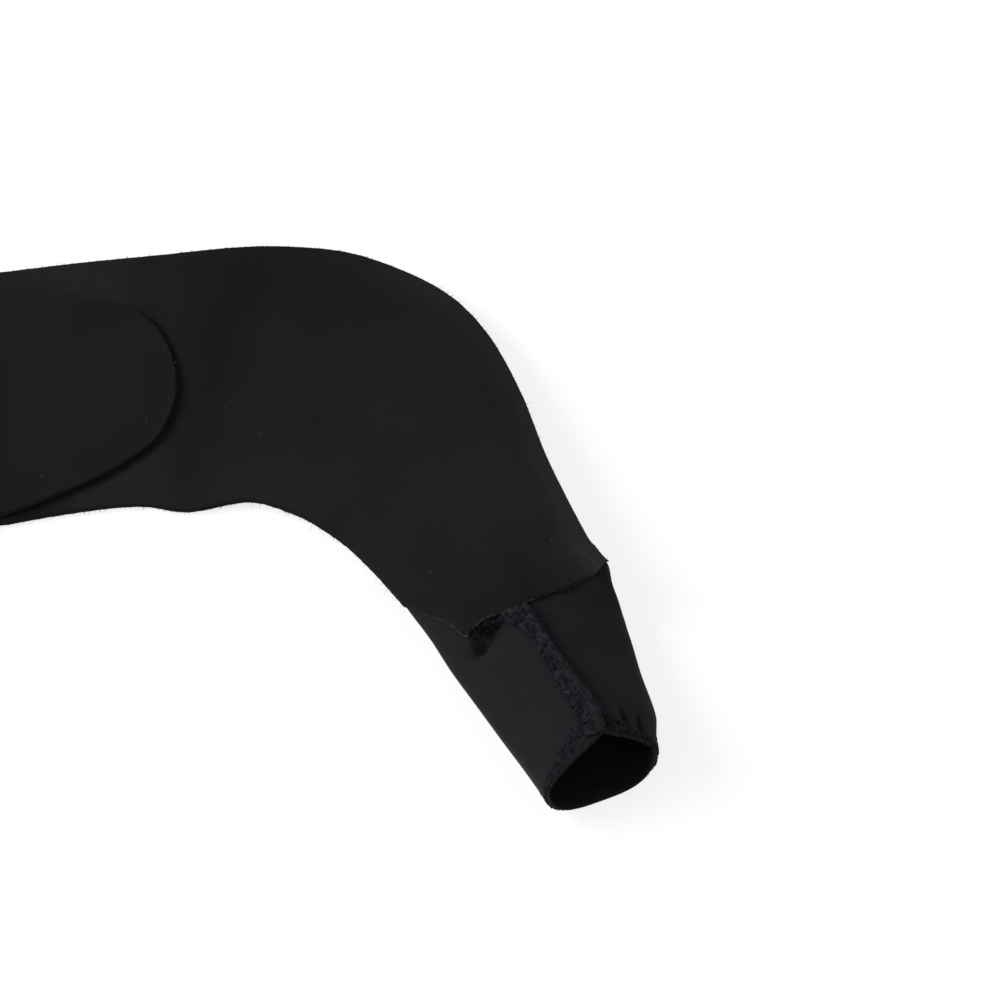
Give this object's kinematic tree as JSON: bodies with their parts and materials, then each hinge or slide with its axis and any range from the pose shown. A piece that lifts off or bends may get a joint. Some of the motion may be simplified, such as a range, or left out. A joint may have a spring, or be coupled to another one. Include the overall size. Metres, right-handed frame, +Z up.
{
  "type": "wrist thumb brace",
  "caption": "Soft black wrist and thumb brace lying closed: a fabric wrap whose strap loops the wrist and laps onto the body, with a tapered stretch sleeve for the thumb.",
  "frame": {"origin": "on the strap's flat underside, on the ground below the wrist loop and at the strap's mid width", "axes": "+X along the strap from the wrist loop towards the thumb, +Y across the strap away from the thumb, +Z up from the surface it lies on"},
  "size_m": [0.2211, 0.1569, 0.0358],
  "materials": {
    "wrap_fabric": "matte brushed loop face",
    "hook_tape": "matte hook tape",
    "sleeve_knit": "fine stretch knit",
    "overlock_thread": "textured thread"
  },
  "bodies": {
    "root": {"wrap_panel": "wrap_fabric", "hook_patch": "hook_tape", "thumb_sleeve": "sleeve_knit", "sleeve_seam": "overlock_thread", "mouth_hem": "overlock_thread"}
  },
  "joints": []
}
